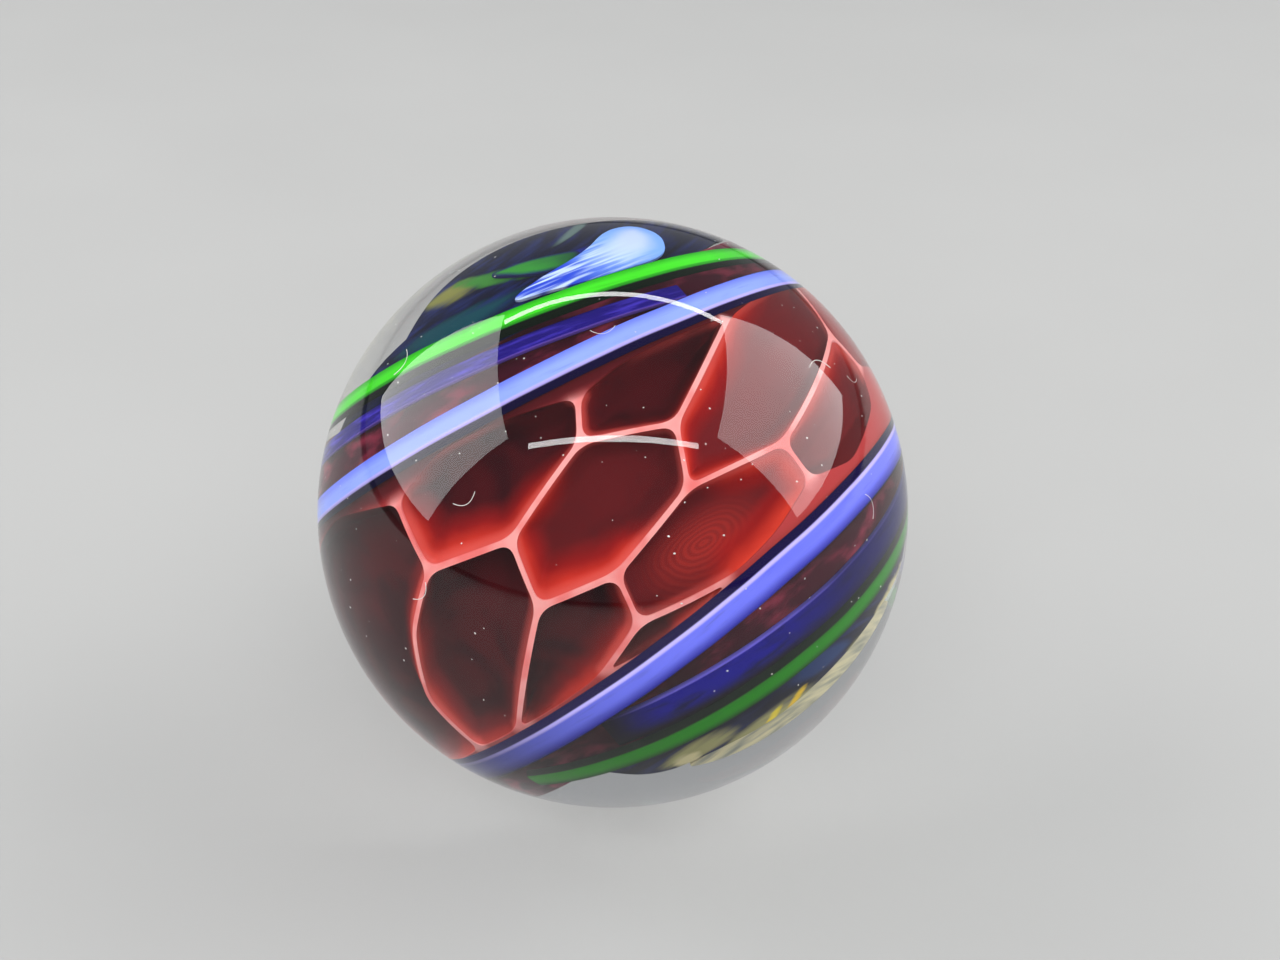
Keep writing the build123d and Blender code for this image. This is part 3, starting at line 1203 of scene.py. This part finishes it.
leaf_piece("upper_navy_leaf", upper_navy_outline, navy_top, upper_navy_glass, "navy_glass")
leaf_piece("lower_navy_leaf", lower_navy_outline, navy_top, lower_navy_glass, "navy_glass")

sweep = cane_nodes()
upper_side, lower_side = -1.0, 1.0
# The lavender edge is a painted highlight on the blue canes; each cane's outer colour is painted shade on
# its far side, and the green canes' edge colours are painted shade too.
lavender_highlight, navy_flank = colour(0.5, 0.45, 1.0), colour(0.006, 0.002, 0.05)
# The green flank is a painted shadow along the green canes' sides.
green_flank_shadow = colour(0.001, 0.008, 0.002)
upper_periwinkle = cane_glass(
    "upper periwinkle glass",
    top=colour(0.26, 0.36, 0.98),
    edge=lavender_highlight,
    outer=colour(0.15, 0.2, 0.85),
    flank=navy_flank,
    cells_side=upper_side,
)
lower_periwinkle = cane_glass(
    "lower periwinkle glass",
    top=colour(0.17, 0.2, 0.95),
    edge=lavender_highlight,
    outer=colour(0.03, 0.03, 0.4),
    flank=navy_flank,
    cells_side=lower_side,
    dim_start=0.8,
)
upper_green_glass = cane_glass(
    "upper green glass",
    top=colour(0.05, 0.64, 0.015),
    edge=colour(0.02, 0.34, 0.01),
    outer=colour(0.02, 0.36, 0.008),
    flank=green_flank_shadow,
    cells_side=upper_side,
)
lower_green_glass = cane_glass(
    "lower green glass",
    top=colour(0.01, 0.22, 0.002),
    edge=colour(0.008, 0.16, 0.003),
    outer=colour(0.002, 0.07, 0.001),
    flank=green_flank_shadow,
    cells_side=lower_side,
)
# Each cane: its node, its stripe, the widths of its top and foot, its glass and its slot.
for node, stripe, spans, glass, slot in (
    ("upper_blue_cane", upper_blue, (1.2 * mm, 1.8 * mm), upper_periwinkle, "periwinkle_glass"),
    ("lower_blue_cane", lower_blue, (1.5 * mm, 2.3 * mm), lower_periwinkle, "periwinkle_glass"),
    ("upper_green_cane", upper_green, (1.1 * mm, 1.6 * mm), upper_green_glass, "green_glass"),
    ("lower_green_cane", lower_green, (1.1 * mm, 1.6 * mm), lower_green_glass, "green_glass"),
):
    swept_stripe(
        sweep, node + "_glass", stripe, cane_top, cane_depth, spans,
        cane_rounding, cane_waver, glass, node,
    )

plum, plum_streak = colour(0.05, 0.004, 0.013), colour(0.3, 0.03, 0.065)
upper_cobalt_glass = ribbon_glass(
    "upper cobalt glass",
    body=colour(0.014, 0.006, 0.17),
    streak_colour=colour(0.06, 0.035, 0.5),
    # A painted highlight along the cobalt's edge.
    edge=colour(0.12, 0.06, 0.4),
    cells_side=upper_side,
)
lower_cobalt_glass = ribbon_glass(
    "lower cobalt glass",
    body=colour(0.003, 0.0005, 0.25),
    streak_colour=colour(0.002, 0.0005, 0.06),
    # A painted highlight along the cobalt's edge.
    edge=colour(0.14, 0.11, 0.6),
    cells_side=lower_side,
    fading=True,
)
upper_plum_glass = ribbon_glass(
    "upper plum glass", plum, plum_streak, edge=colour(0.02, 0.002, 0.012), cells_side=upper_side
)
lower_plum_glass = ribbon_glass(
    "lower plum glass",
    plum,
    plum_streak,
    # A painted shadow of the blue cane along the plum's edge.
    edge=colour(0.004, 0.001, 0.006),
    cells_side=lower_side,
    edge_span=(0.05, 0.3),
)
upper_plum, lower_plum = beside(upper_blue, plum_width), beside(lower_blue, plum_width)
# Each ribbon: its side and colour, its stripe, top, depth and width, and its glass.
for name, stripe, top, depth, width, glass in (
    ("upper_cobalt", upper_cobalt, field_top, ribbon_depth, upper_cobalt_width, upper_cobalt_glass),
    ("lower_cobalt", lower_cobalt, field_top, ribbon_depth, lower_cobalt_width, lower_cobalt_glass),
    ("upper_plum", upper_plum, plum_top, plum_depth, plum_width, upper_plum_glass),
    ("lower_plum", lower_plum, plum_top, plum_depth, plum_width, lower_plum_glass),
):
    slot = "cobalt_glass" if name.endswith("cobalt") else "plum_glass"
    swept_stripe(
        sweep, name + "_glass", stripe, top, depth, (width, width),
        ribbon_rounding, ribbon_waver, glass, name + "_ribbon",
    )

casing = ball_mesh("clear_casing", subdivisions=6)
place_piece("clear_casing", casing, clear_glass(), "clear_ball")
dust = dust_stuff()
settled(
    "dust_grains", grain, per_square_metre=110000.0, sizes=(0.018 * mm, 0.07 * mm), lowest=-0.1, seed=7,
    material=dust,
)
settled(
    "lint_fibres", fibre, per_square_metre=14000.0, sizes=(0.35 * mm, 0.9 * mm), lowest=0.25, seed=4,
    material=dust,
)
studio()
camera()
